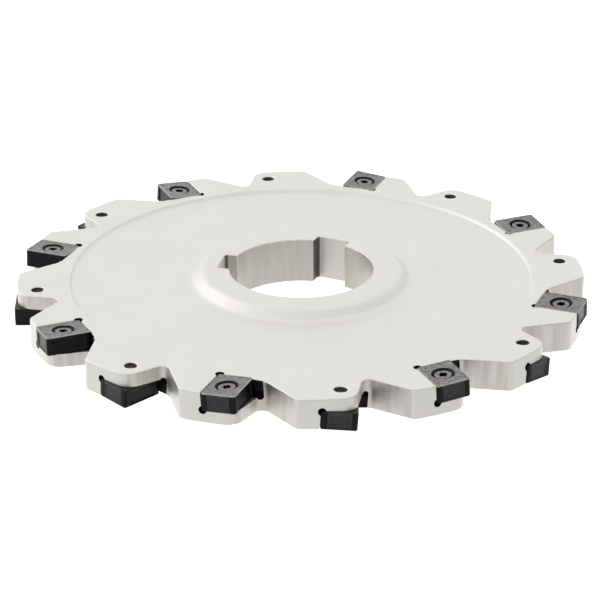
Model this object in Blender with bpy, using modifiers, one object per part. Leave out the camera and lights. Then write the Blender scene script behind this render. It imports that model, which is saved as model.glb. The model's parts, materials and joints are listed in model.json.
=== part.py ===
"""Side and face milling cutter, 200 mm across, with sixteen screwed carbide inserts.

The steel cutter body lies flat with its axis on +Z. Its origin is on the axis, in the lower hub face.
Eight inserts sit in pockets in the upper face and eight in the lower one, turn and turn about, so each
side of the slot has its own cutting edges. Every insert is held by one countersunk screw. Seen from
above the cutter turns counter-clockwise.
"""

import math

import bmesh
import bpy
from mathutils import Matrix, Vector

MM = 0.001
UP = Vector((0, 0, 1))

# Driving dimensions of the cutter.
CUTTER_RADIUS = 100 * MM
CUTTING_WIDTH = 12 * MM
BORE_RADIUS = 25 * MM
TEETH = 16
PITCH = math.tau / TEETH
FIRST_TOOTH = math.radians(7.8)  # the lower-face tooth nearest +X

# The turned blank, from the bore outwards.
HUB_THICKNESS = 16 * MM
RIM_THICKNESS = 10.8 * MM
WEB_THICKNESS = 9 * MM
MID_HEIGHT = HUB_THICKNESS / 2
BORE_CHAMFER = 0.5 * MM
HUB_FACE_RADIUS = 34.5 * MM
HUB_FLANK_RADIUS = 37.1 * MM
HUB_FILLET = 3.2 * MM
HUB_FILLET_MIDDLE = Vector((1.1, 0.3)) * MM  # from the flank's foot outwards, and above the web
WEB_RADIUS = 79.3 * MM
RIM_STEP_RADIUS = 80.6 * MM
BLANK_RADIUS = 103 * MM
TURNED_STEPS = 72

# Keyways, four and a half tooth pitches apart, so ganged cutters can be staggered by half a pitch.
KEYWAY_WIDTH = 12 * MM
KEYWAY_FLOOR = 28.7 * MM
FIRST_KEYWAY = math.radians(66.2)
KEYWAY_ANGLES = (FIRST_KEYWAY, FIRST_KEYWAY + 4.5 * PITCH)

# Tooth plan, in the tooth's own frame: first how far out, then how far ahead in the cutting direction.
LAND_RADIUS = 98.4 * MM
LAND_TAIL = math.radians(-8.7)  # where the land ends behind the tooth
GULLET_ROOT = Vector((83.6, 8.7)) * MM
LEADING_CREST = Vector((95.6, 5.0)) * MM
GULLET_FILLET = 2.5 * MM
TAIL_ROUND = 2.5 * MM
LEADING_ROUND = 5.5 * MM
ARC_STEPS = 4

# The carbide insert and the seat that it lies in.
INSERT_LENGTH = 15.5 * MM
INSERT_WIDTH = 12 * MM
INSERT_THICKNESS = 6.35 * MM
INSERT_CORNER = 0.8 * MM
CORNER_SEGMENTS = 2
INSERT_EDGE = 0.2 * MM
SEAT_AHEAD = -0.65 * MM
RADIAL_RELIEF = math.radians(7)  # turns the insert back in its pocket, to clear behind its tip
AXIAL_RELIEF = math.radians(4)  # tips it forward, to clear beside its tip
SEAT_GAP = 0.3 * MM
POCKET_LEAD = 3.5 * MM
POCKET_OVERRUN = 6 * MM
GROOVE_RADIUS = 1.3 * MM
GROOVE_INSET = 0.4 * MM
CORNER_HOLE_RADIUS = 1.5 * MM
CORNER_HOLE_INSET = 0.6 * MM
CORNER_HOLE_DROP = 0.5 * MM

# The clamp screw and the holes that it goes through.
COUNTERSINK_RADIUS = 4 * MM
COUNTERSINK_DEPTH = 2 * MM
INSERT_HOLE_RADIUS = 2.5 * MM
SCREW_HEAD_DROP = 0.5 * MM
SCREW_HEAD_RADIUS = 3.1 * MM
SCREW_NECK_DEPTH = 2.3 * MM
THREAD_RADIUS = 1.9 * MM
THREAD_HOLE_RADIUS = 2.2 * MM
SCREW_END_DEPTH = 10 * MM
SCREW_END_CHAMFER = 0.4 * MM
SOCKET_POINT_RADIUS = 1.7 * MM
SOCKET_ROOT_RADIUS = 1.2 * MM
SOCKET_DEPTH = 1.5 * MM
LOBES = 6
ROUND_STEPS = 16
GROOVE_STEPS = 10
CORNER_HOLE_STEPS = 10

WELD_DISTANCE = 0.001 * MM
SHARP_ANGLE = math.radians(30)  # an edge sharper than this stays sharp where a piece is shaded smooth
HONED_ANGLE = math.radians(60)  # an insert edge sharper than this is honed

# Colour, roughness and metallic value of each material.
NICKEL_PLATE = ((0.79, 0.78, 0.76), 0.45, 0.6)
COATED_CARBIDE = ((0.045, 0.043, 0.046), 0.45, 0.3)
BLACK_STEEL = ((0.09, 0.088, 0.088), 0.4, 0.9)


def clear_scene():
    for obj in list(bpy.data.objects):
        bpy.data.objects.remove(obj)


def new_collection(name, parent):
    collection = bpy.data.collections.new(name)
    parent.children.link(collection)
    return collection


def new_material(name, colour, roughness, metallic):
    material = bpy.data.materials.new(name)
    material.use_nodes = True
    shader = material.node_tree.nodes["Principled BSDF"]
    shader.inputs["Base Color"].default_value = (*colour, 1)
    shader.inputs["Roughness"].default_value = roughness
    shader.inputs["Metallic"].default_value = metallic
    return material


def new_object(name, mesh, collection, parent=None, place=None):
    """An object at the place matrix, read in its parent's frame."""
    obj = bpy.data.objects.new(name, mesh)
    collection.objects.link(obj)
    obj.parent = parent
    if place is not None:
        obj.location = place.to_translation()
        obj.rotation_euler = place.to_euler()
    return obj


def as_cutter(obj):
    obj.hide_render = True
    obj.display_type = "WIRE"
    return obj


# Outlines


def polar(radius, angle):
    return Vector((radius * math.cos(angle), radius * math.sin(angle)))


def turned_by(point, angle):
    return Matrix.Rotation(angle, 2) @ point


def rounded_corner(before, corner, after, radius):
    """Points of the arc that rounds a corner of an outline."""
    to_before = (before - corner).normalized()
    to_after = (after - corner).normalized()
    half_angle = to_before.angle(to_after) / 2
    centre = corner + (to_before + to_after).normalized() * (radius / math.sin(half_angle))
    start = corner + to_before * (radius / math.tan(half_angle)) - centre
    sweep = start.angle_signed(corner + to_after * (radius / math.tan(half_angle)) - centre)
    return [centre + turned_by(start, -sweep * step / ARC_STEPS) for step in range(ARC_STEPS + 1)]


def tooth_outline(angle):
    """One tooth of the plan, counter-clockwise: its land's tail, land, leading face and gullet."""
    tail = polar(LAND_RADIUS, LAND_TAIL)
    flank = (LEADING_CREST - GULLET_ROOT).normalized()
    along = GULLET_ROOT.dot(flank)
    reach = math.sqrt(along**2 - GULLET_ROOT.length_squared + LAND_RADIUS**2) - along
    crest = GULLET_ROOT + flank * reach
    previous_root = turned_by(GULLET_ROOT, -PITCH)
    next_tail = turned_by(tail, PITCH)
    crest_angle = math.atan2(crest.y, crest.x)
    middle_of_land = polar(LAND_RADIUS, (LAND_TAIL + crest_angle) / 2)
    points = rounded_corner(previous_root, tail, middle_of_land, TAIL_ROUND)
    points.append(middle_of_land)
    points += rounded_corner(middle_of_land, crest, GULLET_ROOT, LEADING_ROUND)
    points += rounded_corner(crest, GULLET_ROOT, next_tail, GULLET_FILLET)
    return [turned_by(point, angle) for point in points]


def socket_outline():
    """The six-lobed recess in a screw head."""
    radii = (SOCKET_POINT_RADIUS, SOCKET_ROOT_RADIUS)
    return [polar(radii[step % 2], math.pi * step / LOBES) for step in range(2 * LOBES)]


# Meshes


def extruded(name, outline, half_height):
    """A mesh prism about z = 0, from a filled flat curve."""
    curve = bpy.data.curves.new(name, "CURVE")
    curve.dimensions = "2D"
    curve.fill_mode = "BOTH"
    curve.extrude = half_height
    spline = curve.splines.new("POLY")
    spline.points.add(len(outline) - 1)
    for spline_point, point in zip(spline.points, outline):
        spline_point.co = (*point, 0, 1)
    spline.use_cyclic_u = True
    guide = bpy.data.objects.new(name, curve)
    bpy.context.scene.collection.objects.link(guide)
    graph = bpy.context.evaluated_depsgraph_get()
    mesh = bpy.data.meshes.new_from_object(guide.evaluated_get(graph))
    bpy.data.objects.remove(guide)
    shape = bmesh.new()
    shape.from_mesh(mesh)
    bmesh.ops.remove_doubles(shape, verts=shape.verts, dist=WELD_DISTANCE)
    shape.to_mesh(mesh)
    shape.free()
    return mesh


def box(name, low, high):
    """A box between two corners."""
    shape = bmesh.new()
    low, high = Vector(low), Vector(high)
    size = Matrix.Diagonal(high - low).to_4x4()
    bmesh.ops.create_cube(shape, size=1, matrix=Matrix.Translation((low + high) / 2) @ size)
    mesh = bpy.data.meshes.new(name)
    shape.to_mesh(mesh)
    shape.free()
    return mesh


def rod(name, start, end, radius, steps):
    """A round bar between two points."""
    axis = Vector(end) - Vector(start)
    turn = UP.rotation_difference(axis).to_matrix().to_4x4()
    shape = bmesh.new()
    bmesh.ops.create_cone(
        shape,
        cap_ends=True,
        segments=steps,
        radius1=radius,
        radius2=radius,
        depth=axis.length,
        matrix=Matrix.Translation((Vector(start) + Vector(end)) / 2) @ turn,
    )
    mesh = bpy.data.meshes.new(name)
    shape.to_mesh(mesh)
    shape.free()
    return mesh


def profile_mesh(name, profile, closed):
    """The edges of a turned profile, as (radius, height) points down its outer side."""
    shape = bmesh.new()
    points = [shape.verts.new((radius, 0, height)) for radius, height in profile]
    pairs = list(zip(points, points[1:]))
    if closed:
        pairs.append((points[-1], points[0]))
    for pair in pairs:
        shape.edges.new(pair)
    mesh = bpy.data.meshes.new(name)
    shape.to_mesh(mesh)
    shape.free()
    return mesh


def turn(obj, steps):
    screw = obj.modifiers.new("turned", "SCREW")
    screw.steps = screw.render_steps = steps
    screw.use_merge_vertices = True
    screw.merge_threshold = WELD_DISTANCE


def boolean(obj, name, operation, other, solver="EXACT"):
    modifier = obj.modifiers.new(name, "BOOLEAN")
    modifier.operation = operation
    modifier.solver = solver
    if isinstance(other, bpy.types.Collection):
        modifier.operand_type = "COLLECTION"
        modifier.collection = other
    else:
        modifier.object = other


def applied(obj, mesh_name):
    """A mesh with the object's modifiers in it; the object is removed."""
    graph = bpy.context.evaluated_depsgraph_get()
    mesh = bpy.data.meshes.new_from_object(obj.evaluated_get(graph))
    mesh.name = mesh_name
    bpy.data.objects.remove(obj)
    return mesh


def smooth(mesh):
    mesh.shade_smooth()
    mesh.set_sharp_from_angle(angle=SHARP_ANGLE)


# Seats


def face_sign(tooth):
    """1 for a tooth whose insert lies in the upper face, -1 for the lower face."""
    return -1 if tooth % 2 == 0 else 1


def seat_matrix(sign):
    """The insert seat in its tooth's frame: X out along the insert, Z out of the face.

    The cutting direction is +Y in an upper seat and -Y in a lower one. The origin is the middle of the
    insert's outer face, and the insert's outer leading corner is the cutter's tip.
    """
    face_height = (CUTTING_WIDTH - INSERT_WIDTH * math.sin(AXIAL_RELIEF)) / 2
    out = math.cos(RADIAL_RELIEF) * INSERT_LENGTH / 2
    out += math.sin(RADIAL_RELIEF) * math.cos(AXIAL_RELIEF) * INSERT_WIDTH / 2
    ahead = math.cos(RADIAL_RELIEF) * math.cos(AXIAL_RELIEF) * INSERT_WIDTH / 2
    ahead -= math.sin(RADIAL_RELIEF) * INSERT_LENGTH / 2
    seat_radius = math.sqrt(CUTTER_RADIUS**2 - (SEAT_AHEAD + ahead) ** 2) - out
    flip = Matrix.Rotation(0 if sign > 0 else math.pi, 4, "X")
    lean = Matrix.Rotation(-sign * RADIAL_RELIEF, 4, "Z") @ Matrix.Rotation(sign * AXIAL_RELIEF, 4, "X")
    return flip @ Matrix.Translation((seat_radius, sign * SEAT_AHEAD, face_height)) @ lean


# Pieces


def blank_profile():
    """Half of the turned blank's section, from its middle height upwards and outwards to the rim."""
    hub_top = HUB_THICKNESS / 2
    web_top = WEB_THICKNESS / 2
    rim_top = RIM_THICKNESS / 2
    return [
        (BORE_RADIUS, hub_top - BORE_CHAMFER),
        (BORE_RADIUS + BORE_CHAMFER, hub_top),
        (HUB_FACE_RADIUS, hub_top),
        (HUB_FLANK_RADIUS, rim_top),
        (HUB_FLANK_RADIUS + HUB_FILLET_MIDDLE.x, web_top + HUB_FILLET_MIDDLE.y),
        (HUB_FLANK_RADIUS + HUB_FILLET, web_top),
        (WEB_RADIUS, web_top),
        (RIM_STEP_RADIUS, rim_top),
        (BLANK_RADIUS, rim_top),
    ]


def make_teeth_empties(collection):
    empties = []
    for tooth in range(TEETH):
        empty = new_object(f"tooth_{tooth + 1}", None, collection)
        empty.location.z = MID_HEIGHT
        empty.rotation_euler.z = FIRST_TOOTH + tooth * PITCH
        empties.append(empty)
    return empties


def make_cutter_body(parts, cutters, teeth):
    upper = blank_profile()
    lower = [(radius, -height) for radius, height in reversed(upper)]
    blank = profile_mesh("cutter_body", upper + lower, closed=True)
    body = new_object("cutter_body", blank, parts, place=Matrix.Translation(UP * MID_HEIGHT))
    turn(body, TURNED_STEPS)

    plan = [point for tooth in range(TEETH) for point in tooth_outline(FIRST_TOOTH + tooth * PITCH)]
    plan_mesh = extruded("tooth_plan", plan, HUB_THICKNESS)
    place = Matrix.Translation(UP * MID_HEIGHT)
    plan_cutter = as_cutter(new_object("tooth_plan", plan_mesh, cutters, place=place))
    boolean(body, "tooth_plan", "INTERSECT", plan_cutter)

    keyways = new_collection("keyways", cutters)
    keyway_low = (0, -KEYWAY_WIDTH / 2, -HUB_THICKNESS)
    keyway_high = (KEYWAY_FLOOR, KEYWAY_WIDTH / 2, HUB_THICKNESS)
    keyway = box("keyway", keyway_low, keyway_high)
    for number, angle in enumerate(KEYWAY_ANGLES, 1):
        place = Matrix.Translation(UP * MID_HEIGHT) @ Matrix.Rotation(angle, 4, "Z")
        as_cutter(new_object(f"keyway_{number}", keyway, keyways, place=place))
    boolean(body, "keyways", "DIFFERENCE", keyways)

    for name, meshes in pocket_cutters().items():
        collection = new_collection(name, cutters)
        for number, tooth in enumerate(teeth):
            sign = face_sign(number)
            seat = seat_matrix(sign)
            as_cutter(new_object(f"{name}_{number + 1}", meshes[sign], collection, tooth, seat))
        # The grooves and the corner hole cross inside each pocket, where EXACT leaves open edges.
        boolean(body, name, "DIFFERENCE", collection, solver="MANIFOLD")
    mesh = applied(body, "cutter_body")
    smooth(mesh)
    mesh.materials.append(new_material("nickel-plated steel", *NICKEL_PLATE))
    new_object("cutter_body", mesh, parts, place=Matrix.Translation(UP * MID_HEIGHT))


def pocket_cutters():
    """Meshes that cut one seat, by name and by face sign."""
    inner = -(INSERT_LENGTH / 2 + SEAT_GAP)
    floor = -(INSERT_THICKNESS + SEAT_GAP)
    outer = INSERT_LENGTH / 2 + POCKET_OVERRUN
    above = POCKET_OVERRUN
    below = -(RIM_THICKNESS + POCKET_OVERRUN)
    groove_x = inner + GROOVE_INSET
    groove_z = floor + GROOVE_INSET
    hole_x = inner + CORNER_HOLE_INSET
    names = ("pocket", "back_groove", "inner_groove", "corner_hole", "screw_hole")
    cutters = {name: {} for name in names}
    for sign in (1, -1):
        back = -sign * (INSERT_WIDTH / 2 + SEAT_GAP)
        front = sign * (INSERT_WIDTH / 2 + POCKET_LEAD)
        groove_y = back + sign * GROOVE_INSET
        hole_y = back + sign * CORNER_HOLE_INSET
        low = (inner, min(back, front), floor)
        high = (outer, max(back, front), above)
        cutters["pocket"][sign] = box("pocket", low, high)
        start = (hole_x, groove_y, groove_z)
        end = (outer, groove_y, groove_z)
        cutters["back_groove"][sign] = rod("back_groove", start, end, GROOVE_RADIUS, GROOVE_STEPS)
        start = (groove_x, hole_y, groove_z)
        end = (groove_x, front, groove_z)
        cutters["inner_groove"][sign] = rod("inner_groove", start, end, GROOVE_RADIUS, GROOVE_STEPS)
        start = (hole_x, hole_y, floor - CORNER_HOLE_DROP)
        end = (hole_x, hole_y, above)
        hole = rod("corner_hole", start, end, CORNER_HOLE_RADIUS, CORNER_HOLE_STEPS)
        cutters["corner_hole"][sign] = hole
        hole = rod("screw_hole", (0, 0, below), (0, 0, above), THREAD_HOLE_RADIUS, ROUND_STEPS)
        cutters["screw_hole"][sign] = hole
    return cutters


def insert_mesh(cutters):
    """A double-sided block with a hole countersunk from both faces. Its outer face is at z = 0."""
    low = (-INSERT_LENGTH / 2, -INSERT_WIDTH / 2, -INSERT_THICKNESS)
    high = (INSERT_LENGTH / 2, INSERT_WIDTH / 2, 0)
    block = box("insert", low, high)
    obj = new_object("insert_block", block, cutters)
    shape = bmesh.new()
    shape.from_mesh(block)
    uprights = [edge for edge in shape.edges if edge.verts[0].co.z != edge.verts[1].co.z]
    bmesh.ops.bevel(
        shape,
        geom=uprights,
        offset=INSERT_CORNER,
        segments=CORNER_SEGMENTS,
        profile=0.5,
        affect="EDGES",
    )
    shape.to_mesh(block)
    shape.free()
    edges = obj.modifiers.new("honed_edges", "BEVEL")
    edges.width = INSERT_EDGE
    edges.segments = 1
    edges.limit_method = "ANGLE"
    edges.angle_limit = HONED_ANGLE

    above = SEAT_GAP
    slope = (COUNTERSINK_RADIUS - INSERT_HOLE_RADIUS) / COUNTERSINK_DEPTH
    profile = [
        (0, above),
        (COUNTERSINK_RADIUS + slope * above, above),
        (INSERT_HOLE_RADIUS, -COUNTERSINK_DEPTH),
        (INSERT_HOLE_RADIUS, COUNTERSINK_DEPTH - INSERT_THICKNESS),
        (COUNTERSINK_RADIUS + slope * above, -INSERT_THICKNESS - above),
        (0, -INSERT_THICKNESS - above),
    ]
    hole = new_object("insert_hole", profile_mesh("insert_hole", profile, closed=False), cutters)
    turn(as_cutter(hole), ROUND_STEPS)
    boolean(obj, "hole", "DIFFERENCE", hole)
    mesh = applied(obj, "insert")
    smooth(mesh)
    return mesh


def screw_mesh(cutters):
    """A countersunk clamp screw, its axis on Z, with the insert's outer face at z = 0."""
    end = -SCREW_END_DEPTH
    profile = [
        (0, -SCREW_HEAD_DROP),
        (SCREW_HEAD_RADIUS, -SCREW_HEAD_DROP),
        (THREAD_RADIUS, -SCREW_NECK_DEPTH),
        (THREAD_RADIUS, end + SCREW_END_CHAMFER),
        (THREAD_RADIUS - SCREW_END_CHAMFER, end),
        (0, end),
    ]
    obj = new_object("screw_blank", profile_mesh("screw", profile, closed=False), cutters)
    turn(obj, ROUND_STEPS)
    place = Matrix.Translation(UP * -SCREW_HEAD_DROP)
    socket_shape = extruded("socket", socket_outline(), SOCKET_DEPTH)
    socket = as_cutter(new_object("socket", socket_shape, cutters, place=place))
    boolean(obj, "socket", "DIFFERENCE", socket)
    mesh = applied(obj, "screw")
    smooth(mesh)
    return mesh


def make_inserts_and_screws(parts, cutters, teeth):
    insert = insert_mesh(cutters)
    insert.materials.append(new_material("coated carbide", *COATED_CARBIDE))
    screw = screw_mesh(cutters)
    screw.materials.append(new_material("blackened screw steel", *BLACK_STEEL))
    for number, tooth in enumerate(teeth):
        sign = face_sign(number)
        face = "upper" if sign > 0 else "lower"
        count = number // 2 + 1
        new_object(f"{face}_insert_{count}", insert, parts, tooth, seat_matrix(sign))
        new_object(f"{face}_screw_{count}", screw, parts, tooth, seat_matrix(sign))


def main():
    clear_scene()
    parts = new_collection("face_mill", bpy.context.scene.collection)
    cutters = new_collection("cutters", bpy.context.scene.collection)
    teeth = make_teeth_empties(parts)
    make_cutter_body(parts, cutters, teeth)
    make_inserts_and_screws(parts, cutters, teeth)


main()
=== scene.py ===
"""Looks of a side and face milling cutter: its plated steel body, carbide inserts and clamp screws.

Every piece here stands for one of them.
"""

import json
import math

import bmesh
import bpy
from mathutils import Matrix, Vector

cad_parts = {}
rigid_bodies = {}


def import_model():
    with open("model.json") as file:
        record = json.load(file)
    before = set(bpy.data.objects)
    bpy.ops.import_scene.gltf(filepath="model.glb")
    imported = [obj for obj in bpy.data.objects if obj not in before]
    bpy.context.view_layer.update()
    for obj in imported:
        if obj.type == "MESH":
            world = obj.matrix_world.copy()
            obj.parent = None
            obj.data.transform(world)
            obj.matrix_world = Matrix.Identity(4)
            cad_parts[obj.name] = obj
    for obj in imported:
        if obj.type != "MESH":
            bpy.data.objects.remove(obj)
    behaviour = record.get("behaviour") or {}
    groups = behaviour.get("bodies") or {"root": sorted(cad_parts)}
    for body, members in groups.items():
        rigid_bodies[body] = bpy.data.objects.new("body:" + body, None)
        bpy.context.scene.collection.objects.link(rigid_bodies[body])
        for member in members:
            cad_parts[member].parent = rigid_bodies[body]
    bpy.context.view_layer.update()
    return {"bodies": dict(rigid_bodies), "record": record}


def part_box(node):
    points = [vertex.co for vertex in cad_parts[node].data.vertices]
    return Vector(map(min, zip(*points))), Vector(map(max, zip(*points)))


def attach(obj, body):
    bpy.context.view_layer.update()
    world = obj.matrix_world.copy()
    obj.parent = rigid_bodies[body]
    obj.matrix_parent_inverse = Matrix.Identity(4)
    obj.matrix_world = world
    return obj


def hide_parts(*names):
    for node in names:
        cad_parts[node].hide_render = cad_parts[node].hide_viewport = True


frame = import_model()

bl_info = {
    "name": "Side and face milling cutter",
    "version": (1, 0, 0),
    "blender": (4, 5, 0),
    "location": "3D View > Sidebar > Cutter",
    "description": "Builds a milling cutter with screwed carbide inserts around its packed solids",
    "category": "Add Mesh",
}

MM = 0.001
UP = Vector((0, 0, 1))
RECORD = frame["record"]
JOINTS = {joint["child"]: joint for joint in RECORD["behaviour"]["joints"]}
OPENINGS = {opening["name"]: opening for opening in RECORD["physics"]["openings"]}
INSERTS = sorted(name for name in frame["bodies"] if "insert" in name)
SCREWS = [name.replace("insert", "screw") for name in INSERTS]
BODY_LOW, BODY_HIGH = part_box("cutter_body")
MID_HEIGHT = (BODY_LOW.z + BODY_HIGH.z) / 2
TEETH = len(INSERTS)
PITCH = math.tau / TEETH


def linear(hex_colour):
    """The linear red, green and blue of an sRGB hex colour."""
    parts = [int(hex_colour[start : start + 2], 16) / 255 for start in (1, 3, 5)]
    return [part / 12.92 if part <= 0.04045 else ((part + 0.055) / 1.055) ** 2.4 for part in parts]


# Sizes and colours that a user would change


def length(name, description, millimetres):
    """A length property, given in millimetres and held in metres."""
    return bpy.props.FloatProperty(
        name=name,
        description=description,
        default=millimetres * MM,
        min=0,
        precision=5,
        unit="LENGTH",
    )


def angle(name, description, degrees):
    """An angle property, given in degrees and held in radians."""
    return bpy.props.FloatProperty(
        name=name, description=description, default=math.radians(degrees), unit="ROTATION"
    )


def colour(name, description, hex_colour):
    """A colour property, given as sRGB hex and held as linear values."""
    return bpy.props.FloatVectorProperty(
        name=name,
        description=description,
        default=linear(hex_colour),
        size=3,
        min=0,
        max=1,
        subtype="COLOR",
    )


class BodySizes(bpy.types.PropertyGroup):
    """Sizes of the turned and milled steel body."""

    bore_radius: length("Bore radius", "Radius of the arbor bore", 25)
    bore_chamfer: length("Bore chamfer", "Chamfer around the bore and keyways", 0.25)
    keyway_width: length("Keyway width", "Width of each keyway", 12)
    keyway_floor: length("Keyway floor", "From the axis to each keyway's floor", 28.7)
    keyway_corner: length("Keyway corner", "Radius in the corners of each keyway", 0.9)
    hub_face: length("Hub face radius", "Outer radius of the flat ring on the hub", 34.5)
    hub_flank: length("Hub flank radius", "Radius at the foot of the hub's flank", 37.1)
    hub_shoulder: length("Hub shoulder", "Radius of the hub's rounded shoulder", 3)
    hub_fillet: length("Hub fillet", "How far the hub's fillet runs out over the web", 3.2)
    rim_thickness: length("Rim thickness", "Thickness of the toothed rim", 10.8)
    web_depth: length("Web recess", "How far the web lies below the rim's face", 0.9)
    web_radius: length("Web radius", "Outer radius of the flat web", 79.6)
    rim_step: length("Rim step radius", "Radius where the web's step meets the rim", 80.4)
    land_radius: length("Land radius", "Radius of the land behind each insert", 98.4)
    land_tail: angle("Land tail", "How far behind its tooth the land ends", 8.7)
    edge_break: length("Broken edges", "Radius on the edges of the toothed rim", 0.55)
    root_out: length("Gullet root out", "From the axis to the gullet's root corner", 83.6)
    root_ahead: length("Gullet root ahead", "From the tooth to the gullet's root corner", 8.7)
    crest_out: length("Crest out", "From the axis to a point on the leading flank", 95.6)
    crest_ahead: length("Crest ahead", "From the tooth to that point on the flank", 5)
    gullet_fillet: length("Gullet fillet", "Radius in the gullet's root", 2.5)
    tail_round: length("Tail rounding", "Radius on the land's tail corner", 2.5)
    leading_round: length("Leading rounding", "Radius on the land's leading corner", 5.5)


class SeatSizes(bpy.types.PropertyGroup):
    """Sizes of the seats that the inserts lie in."""

    gap: length("Seat gap", "Gap between an insert and its seat", 0.12)
    lead: length("Pocket lead", "How far the pocket runs on ahead of the insert", 3.5)
    overrun: length("Overrun", "How far a seat's cutters run past the body", 6)
    groove_radius: length("Relief groove", "Radius of the relief grooves along the floor", 1.4)
    groove_inset: length("Groove inset", "From the seat's walls to the groove's centre", 0.4)
    corner_radius: length("Corner relief", "Radius of the relief hole in the inner corner", 1.5)
    corner_inset: length("Corner inset", "From the seat's walls to the relief hole's centre", 0.6)
    corner_drop: length("Corner drop", "How far the relief hole runs below the floor", 0.5)
    rim_break: length("Rim break", "Chamfer around each pocket and tapped hole", 0.25)
    radial_relief: angle("Radial relief", "Angle that an insert is turned back in plan", 7)


class InsertSizes(bpy.types.PropertyGroup):
    """Sizes of a carbide insert."""

    length_out: length("Length", "Length of an insert, outwards from the axis", 15.5)
    width: length("Width", "Width of an insert", 12)
    thickness: length("Thickness", "Thickness of an insert", 6.35)
    corner: length("Corner radius", "Radius on the upright corners", 0.92)
    honed: length("Honed edge", "Width of the honed edge around each face", 0.28)
    land: length("Side land", "Height of the land above the chip groove", 0.7)
    groove: length("Chip groove", "Depth of the chip groove around the sides", 0.38)
    strip: length("Corner strip", "Width of the full-height strip at each corner", 1.2)
    border: length("Face border", "Width of the raised border on each face", 0.5)
    dish: length("Face dish", "How far each face lies below its border", 0.14)
    countersink: length("Countersink radius", "Radius of the screw's countersink", 4)
    countersink_depth: length("Countersink depth", "Depth of the screw's countersink", 2)
    hole: length("Hole radius", "Radius of the screw's hole", 2.5)


class ScrewSizes(bpy.types.PropertyGroup):
    """Sizes of a clamp screw and of the tapped hole that it goes in."""

    head_radius: length("Head radius", "Radius of the head", 3.1)
    head_drop: length("Head drop", "From the insert's face down to the head", 0.5)
    head_round: length("Head rounding", "Radius around the top of the head", 0.22)
    neck_depth: length("Neck depth", "From the insert's face to the head's foot", 2.3)
    shank_radius: length("Shank radius", "Radius of the thread's crests", 1.9)
    end_depth: length("End depth", "From the insert's face to the screw's end", 10)
    pitch: length("Thread pitch", "Distance between the thread's crests", 0.7)
    thread_depth: length("Thread depth", "Depth of the thread", 0.3)
    tapped_radius: length("Tapped radius", "Radius of the tapped hole's crests", 2)
    lobe_radius: length("Lobe radius", "Radius of the socket's lobes", 1.68)
    waist_radius: length("Waist radius", "Radius between the socket's lobes", 1.2)
    socket_depth: length("Socket depth", "Depth of the driving socket", 1.5)


class Finishes(bpy.types.PropertyGroup):
    """Colours of the surfaces."""

    nickel: colour("Nickel", "Satin nickel plate", "#ebeae5")
    nickel_dull: colour("Dull nickel", "Where the plate is thicker and duller", "#e6e4de")
    milled: colour("Milled steel", "Plate over milled and turned walls", "#e8e5e1")
    milled_dark: colour("Milled shade", "Between the cutter's passes on those walls", "#d2cdc7")
    bored: colour("Bored steel", "Plate over the finely bored arbor hole", "#dad5d1")
    bored_shade: colour("Bored shade", "Duller zones in the bore", "#d0cac5")
    # painted shade: the keyways' driven flanks and corners are painted dark where shade falls
    flank: colour("Driving flank", "Keyway flank darkened as painted shade", "#7c7571")
    flank_painted_shade_dark: colour("Flank shade", "Darker painted shade in the keyways' corners and flanks", "#5d5754")
    # painted shade: the tapped holes and drilled reliefs are painted dark where shade falls in them
    tapped: colour("Tapped steel", "Painted shade in the tapped holes", "#7d7874")
    relief: colour("Relief", "Painted shade in the drilled reliefs", "#161413")
    # painted shade: the insert's long rake sides are painted darker than its ends
    coating: colour("Coating", "Painted shade on the insert's rake sides", "#060607")
    coating_shade: colour("Coating shade", "Thinner patches of that coating", "#0d0d0f")
    ground_side: colour("Ground side", "Coating on the insert's ground ends", "#202024")
    # painted reflection: the insert's faces are painted a lighter grey than its sides
    face_painted_reflection: colour("Ground face", "Painted reflection on the insert's faces", "#8e8b88")
    ground_face_dark: colour("Ground shade", "Darker patches on the insert's faces", "#4a4745")
    # painted highlight: a bright line along the honed edges
    honed: colour("Honed edge", "Painted highlight along the honed edges", "#c4c1be")
    burnished: colour("Burnished steel", "Rubbed top of the screw's head", "#8b8783")
    # painted shade: the socket and the rest of the screw below the head's top are painted black
    socket_painted_shade: colour("Black oxide", "Painted shade in the socket, also on the hidden thread", "#1b1a1a")
    floor: colour("Floor", "Pale studio floor", "#f7f7f5")
    floor_shade: colour("Floor shade", "Faint clouds in the floor's paint", "#f2f2f0")


# Materials


def add_node(tree, kind, inputs=None, **settings):
    """A node with its settings; an input takes a value, or an output socket to link."""
    node = tree.nodes.new(kind)
    for name, value in settings.items():
        setattr(node, name, value)
    for name, value in (inputs or {}).items():
        if isinstance(value, bpy.types.NodeSocket):
            tree.links.new(value, node.inputs[name])
        else:
            node.inputs[name].default_value = value
    return node


def new_material(name):
    """A material with no nodes but the place on its object, its node tree, and that node."""
    material = bpy.data.materials.new(name)
    material.use_nodes = True
    tree = material.node_tree
    tree.nodes.clear()
    return material, tree, add_node(tree, "ShaderNodeTexCoord")


def speckle(tree, place, size, detail=2):
    """Noise whose spots are about this size."""
    return add_node(
        tree,
        "ShaderNodeTexNoise",
        {"Vector": place.outputs["Object"], "Scale": 1 / size, "Detail": detail},
    )


def blended(tree, amount, first, second):
    """One colour turning into another."""
    return add_node(
        tree,
        "ShaderNodeMix",
        {"Factor": amount, "A": (*first, 1), "B": (*second, 1)},
        data_type="RGBA",
    )


def ranged(tree, value, low, high):
    """A noise value spread over a range."""
    return add_node(
        tree,
        "ShaderNodeMapRange",
        {"Value": value, "From Min": 0.3, "From Max": 0.7, "To Min": low, "To Max": high},
    )


def mix_output(node):
    """The colour output of a Mix node."""
    return next(out for out in node.outputs if out.type == "RGBA")


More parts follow.
